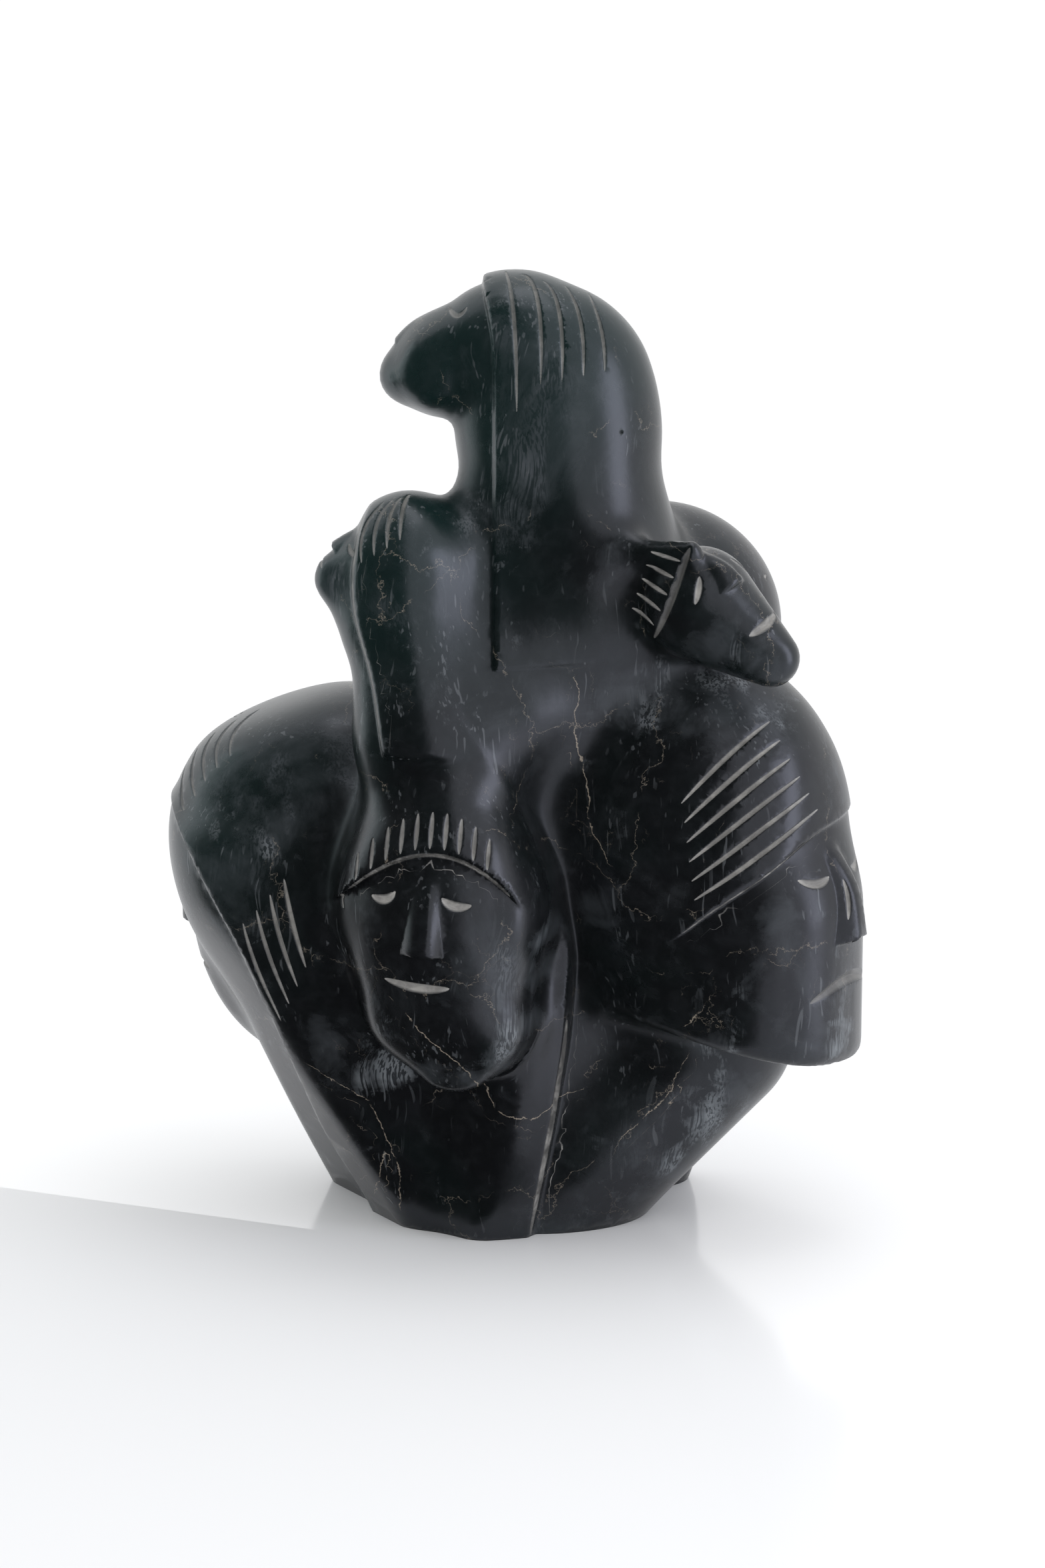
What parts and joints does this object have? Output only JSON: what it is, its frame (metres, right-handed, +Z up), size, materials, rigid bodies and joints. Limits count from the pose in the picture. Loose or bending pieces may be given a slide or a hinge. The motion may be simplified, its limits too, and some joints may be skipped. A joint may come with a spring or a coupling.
{
  "type": "inuit stone carving",
  "caption": "Standing stone carving of several stylised heads with long hair, cut from one block and resting on its flat underside.",
  "frame": {"origin": "middle of the footprint of the whole carving, on the surface it stands on", "axes": "+Z up, -Y towards the viewer of the front, +X to that viewer's right"},
  "size_m": [0.3366, 0.2254, 0.4618],
  "materials": {
    "stone": "satin polished dark serpentine with pale veins"
  },
  "bodies": {
    "root": {"stone_carving": "stone"}
  },
  "joints": []
}
